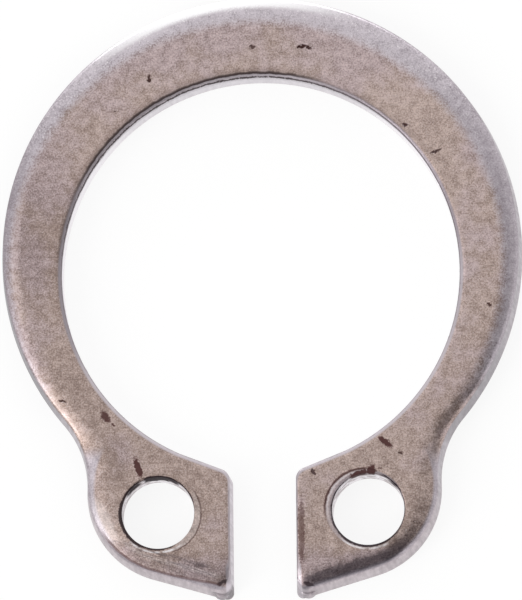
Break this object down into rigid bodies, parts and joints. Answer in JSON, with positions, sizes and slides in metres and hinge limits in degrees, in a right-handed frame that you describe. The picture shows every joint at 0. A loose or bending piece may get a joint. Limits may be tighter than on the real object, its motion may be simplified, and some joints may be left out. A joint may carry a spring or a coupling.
{
  "type": "external retaining ring",
  "caption": "Flat open ring of spring steel with a tapered beam and a plier hole in each lug, which snaps into a shaft groove and holds parts on the shaft.",
  "frame": {"origin": "on the axis of the bore, in the lower, sharp face that the ring lies on", "axes": "+Z along the bore's axis towards the face with the die roll, the gap between the lugs towards -Y"},
  "size_m": [0.0144, 0.0168, 0.001],
  "materials": {
    "spring_steel": "tumbled spring steel, satin, with fine mottling and a few stained pits"
  },
  "bodies": {
    "root": {"retaining_ring": "spring_steel"}
  },
  "joints": []
}
